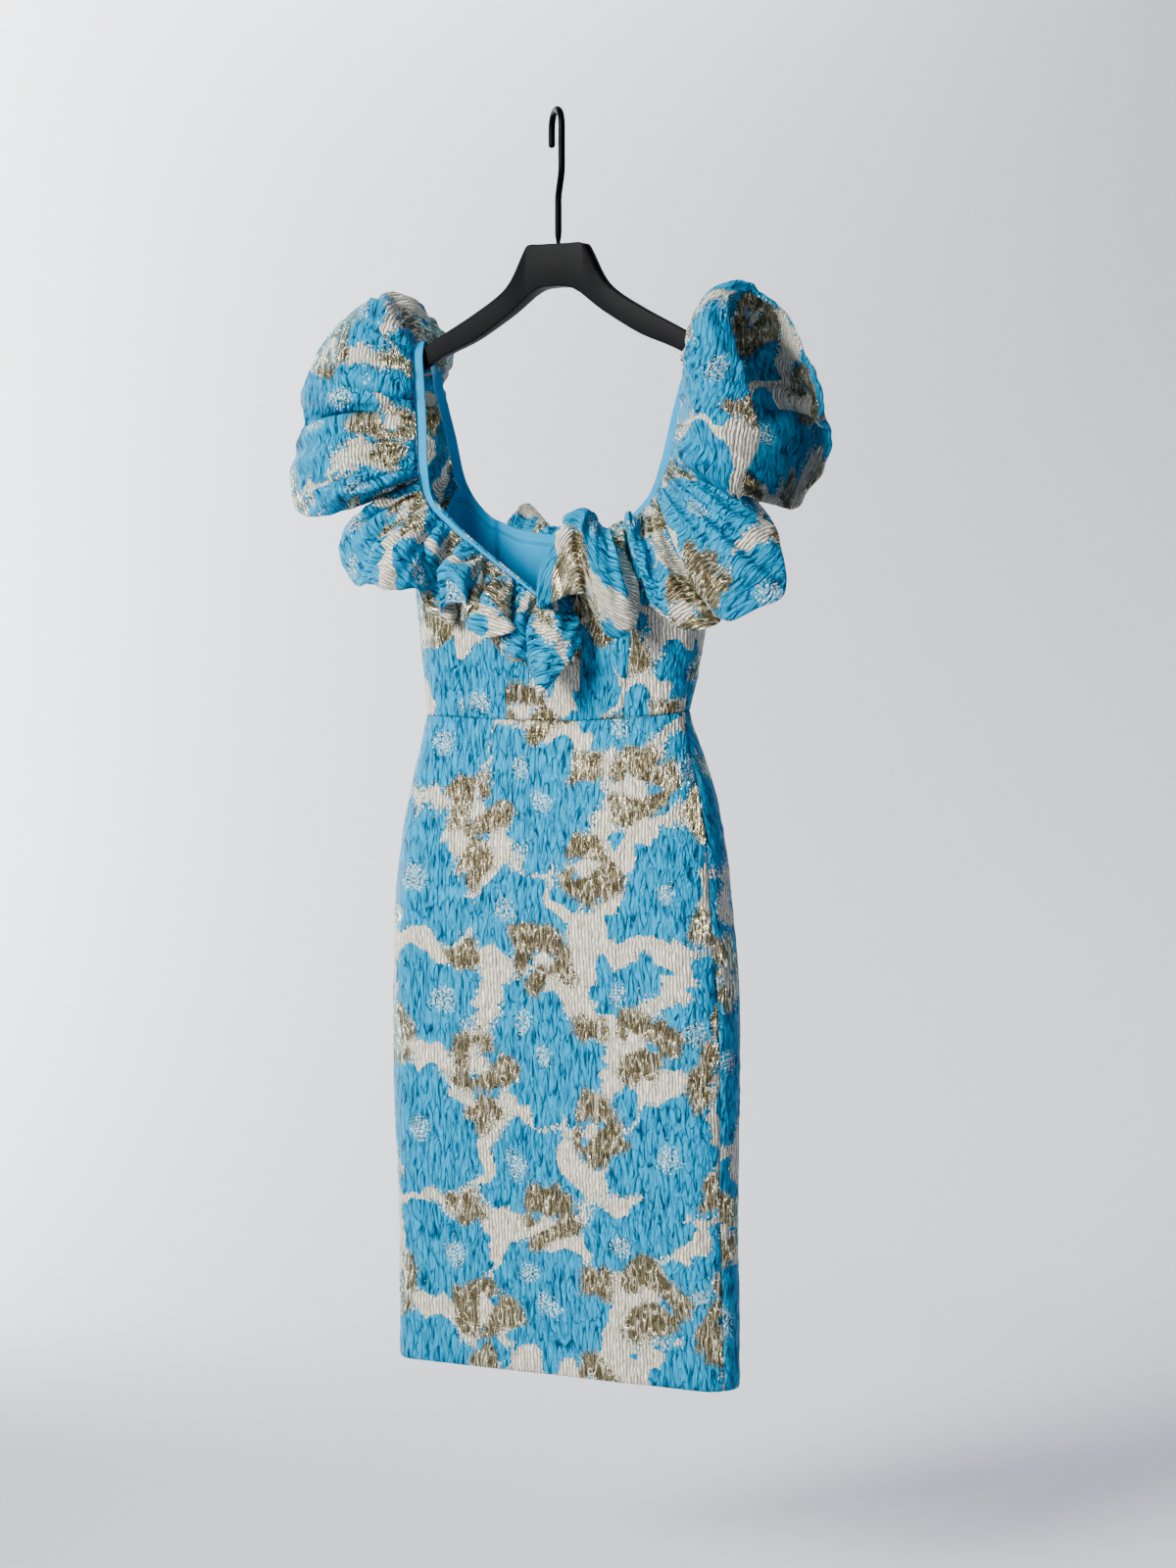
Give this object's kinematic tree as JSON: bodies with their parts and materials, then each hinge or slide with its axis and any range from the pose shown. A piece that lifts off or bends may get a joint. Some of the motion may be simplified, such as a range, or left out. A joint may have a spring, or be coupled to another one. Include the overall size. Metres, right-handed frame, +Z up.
{
  "type": "bodycon midi dress on a hanger",
  "caption": "Fitted sleeveless midi dress with a deep V neck and a gathered, folded ruffle round the neck and over both shoulders, hanging open at neck, arms and hem on a plain hanger.",
  "frame": {"origin": "inside top of the hanger's hook, where a rail carries it", "axes": "+Z up, +X to the viewer's right seen from the front, the front of the dress faces -Y"},
  "size_m": [0.6564, 0.2482, 1.4757],
  "materials": {
    "brocade": "crinkled jacquard: cyan blue blossoms and pale gold lurex rosettes on a stone ground",
    "satin": "smooth cyan blue satin",
    "zip_tape": "woven tape, matched to the cloth",
    "zip_metal": "enamelled to match the cloth",
    "hanger_plastic": "matt black, soft-touch",
    "hook_steel": "black coated rod"
  },
  "bodies": {
    "dress": {"bodice_front_centre_right": "brocade", "bodice_front_centre_left": "brocade", "bodice_front_middle_right": "brocade", "bodice_front_middle_left": "brocade", "bodice_front_side_right": "brocade", "bodice_front_side_left": "brocade", "bodice_back_side_right": "brocade", "bodice_back_side_left": "brocade", "bodice_back_centre_right": "brocade", "bodice_back_centre_left": "brocade", "skirt_front": "brocade", "skirt_back_right": "brocade", "skirt_back_left": "brocade", "ruffle_right": "brocade", "ruffle_left": "brocade", "lining_front": "satin", "lining_back_right": "satin", "lining_back_left": "satin", "strap_right": "satin", "strap_left": "satin", "zip_tape_bodice": "zip_tape", "zip_tape_skirt": "zip_tape", "zip_slider": "zip_metal", "hanger_body": "hanger_plastic", "hanger_hook": "hook_steel"},
    "zip_pull": {"zip_pull": "zip_metal"}
  },
  "joints": [
    {"name": "zip_pull_swing", "type": "hinge", "parent": "dress", "child": "zip_pull", "pos_m": [0.00536, 0.05014, -0.4965], "axis": [1, 0, 0], "range_deg": [0, 150]}
  ]
}
